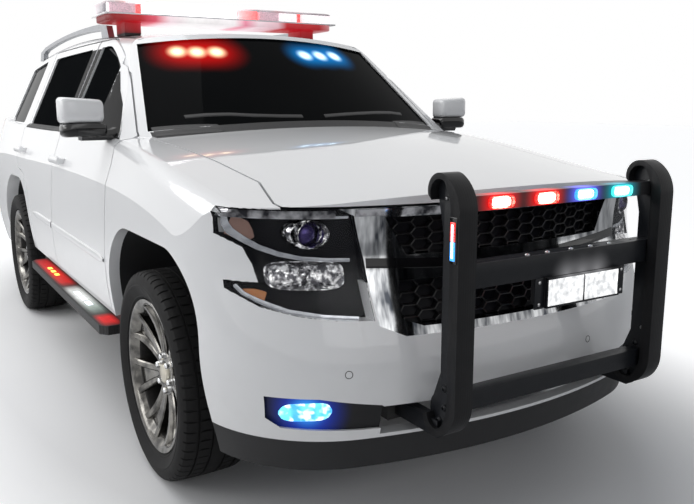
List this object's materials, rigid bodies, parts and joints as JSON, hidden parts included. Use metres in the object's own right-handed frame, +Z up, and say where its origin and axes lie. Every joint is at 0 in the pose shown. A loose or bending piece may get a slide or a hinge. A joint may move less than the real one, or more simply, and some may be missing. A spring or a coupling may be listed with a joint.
{
  "type": "police sport utility vehicle",
  "caption": "Full-size patrol SUV with push bar and roof light bar; doors, hood, liftgate, steering and wheels move.",
  "frame": {"origin": "on the ground under the middle of the overall box", "axes": "+X to the vehicle's left, -Y towards the nose, +Z up"},
  "size_m": [2.2552, 5.348, 1.9718],
  "materials": {
    "paint_white": "gloss white paint",
    "chassis_black": "satin black",
    "trim_black": "grained black plastic",
    "gloss_black": "gloss black",
    "chrome": "bright plated",
    "dark_glass": "tinted",
    "lamp_lens": "clear lens",
    "tail_lens": "red lens",
    "tyre": "black tread rubber",
    "alloy": "polished dark alloy",
    "pad_rubber": "ribbed black rubber",
    "rail_metal": "satin",
    "cast_iron": "rough cast",
    "seat_cloth": "dark woven cloth",
    "dash_plastic": "grained"
  },
  "bodies": {
    "body": {"chassis_frame": "chassis_black", "hitch_receiver": "chassis_black", "floor_pan": "chassis_black", "cargo_floor": "chassis_black", "wheel_liners": "trim_black", "body_sides": "paint_white", "rockers": "trim_black", "front_fenders": "paint_white", "roof_panel": "paint_white", "cowl": "gloss_black", "front_bumper": "paint_white", "front_valance": "trim_black", "rear_bumper": "paint_white", "fixed_glass": "dark_glass", "grille_surround": "chrome", "grille_mesh": "gloss_black", "headlamps": "lamp_lens", "fog_lamps": "lamp_lens", "tail_lamps": "tail_lens", "side_steps": "trim_black", "roof_rails": "rail_metal", "light_bar_base": "trim_black", "light_bar_lens": "lamp_lens", "push_bar_frame": "chassis_black", "push_bar_pads": "pad_rubber", "push_bar_lights": "gloss_black", "engine_block": "cast_iron", "seats": "seat_cloth", "dashboard": "dash_plastic", "rear_axle": "cast_iron"},
    "hood": {"hood": "paint_white"},
    "liftgate": {"liftgate": "paint_white", "liftgate_glass": "dark_glass"},
    "door_front_left": {"door_front_left": "paint_white", "door_glass_front_left": "dark_glass", "mirror_left": "paint_white"},
    "door_rear_left": {"door_rear_left": "paint_white", "door_glass_rear_left": "dark_glass"},
    "knuckle_left": {"knuckle_left": "cast_iron"},
    "door_front_right": {"door_front_right": "paint_white", "door_glass_front_right": "dark_glass", "mirror_right": "paint_white"},
    "door_rear_right": {"door_rear_right": "paint_white", "door_glass_rear_right": "dark_glass"},
    "knuckle_right": {"knuckle_right": "cast_iron"},
    "wheel_front_left": {"tyre_front_left": "tyre", "rim_front_left": "alloy"},
    "wheel_front_right": {"tyre_front_right": "tyre", "rim_front_right": "alloy"},
    "wheel_rear_left": {"tyre_rear_left": "tyre", "rim_rear_left": "alloy"},
    "wheel_rear_right": {"tyre_rear_right": "tyre", "rim_rear_right": "alloy"}
  },
  "joints": [
    {"name": "hood_hinge", "type": "hinge", "parent": "body", "child": "hood", "pos_m": [0, -1.0085, 1.335], "axis": [-1, 0, 0], "range_deg": [0, 50]},
    {"name": "liftgate_hinge", "type": "hinge", "parent": "body", "child": "liftgate", "pos_m": [0, 2.2815, 1.792], "axis": [1, 0, 0], "range_deg": [0, 85]},
    {"name": "door_front_left_hinge", "type": "hinge", "parent": "body", "child": "door_front_left", "pos_m": [1.008, -0.9485, 0.9], "axis": [0, 0, -1], "range_deg": [0, 65]},
    {"name": "door_rear_left_hinge", "type": "hinge", "parent": "body", "child": "door_rear_left", "pos_m": [1.008, 0.1995, 0.9], "axis": [0, 0, -1], "range_deg": [0, 65]},
    {"name": "steer_left", "type": "hinge", "parent": "body", "child": "knuckle_left", "pos_m": [0.7825, -1.5085, 0.4075], "axis": [0, 0, 1], "range_deg": [-32, 32]},
    {"name": "door_front_right_hinge", "type": "hinge", "parent": "body", "child": "door_front_right", "pos_m": [-1.008, -0.9485, 0.9], "axis": [0, 0, 1], "range_deg": [0, 65]},
    {"name": "door_rear_right_hinge", "type": "hinge", "parent": "body", "child": "door_rear_right", "pos_m": [-1.008, 0.1995, 0.9], "axis": [0, 0, 1], "range_deg": [0, 65]},
    {"name": "steer_right", "type": "hinge", "parent": "body", "child": "knuckle_right", "pos_m": [-0.7825, -1.5085, 0.4075], "axis": [0, 0, 1], "range_deg": [-32, 32]},
    {"name": "spin_front_left", "type": "hinge", "parent": "knuckle_left", "child": "wheel_front_left", "pos_m": [0.8725, -1.5085, 0.4075], "axis": [1, 0, 0], "continuous": true},
    {"name": "spin_front_right", "type": "hinge", "parent": "knuckle_right", "child": "wheel_front_right", "pos_m": [-0.8725, -1.5085, 0.4075], "axis": [1, 0, 0], "continuous": true},
    {"name": "spin_rear_left", "type": "hinge", "parent": "body", "child": "wheel_rear_left", "pos_m": [0.8725, 1.4375, 0.4075], "axis": [1, 0, 0], "continuous": true},
    {"name": "spin_rear_right", "type": "hinge", "parent": "body", "child": "wheel_rear_right", "pos_m": [-0.8725, 1.4375, 0.4075], "axis": [1, 0, 0], "continuous": true}
  ],
  "couplings": [
    {"joint": "steer_right", "follows": "steer_left", "ratio": 1}
  ]
}
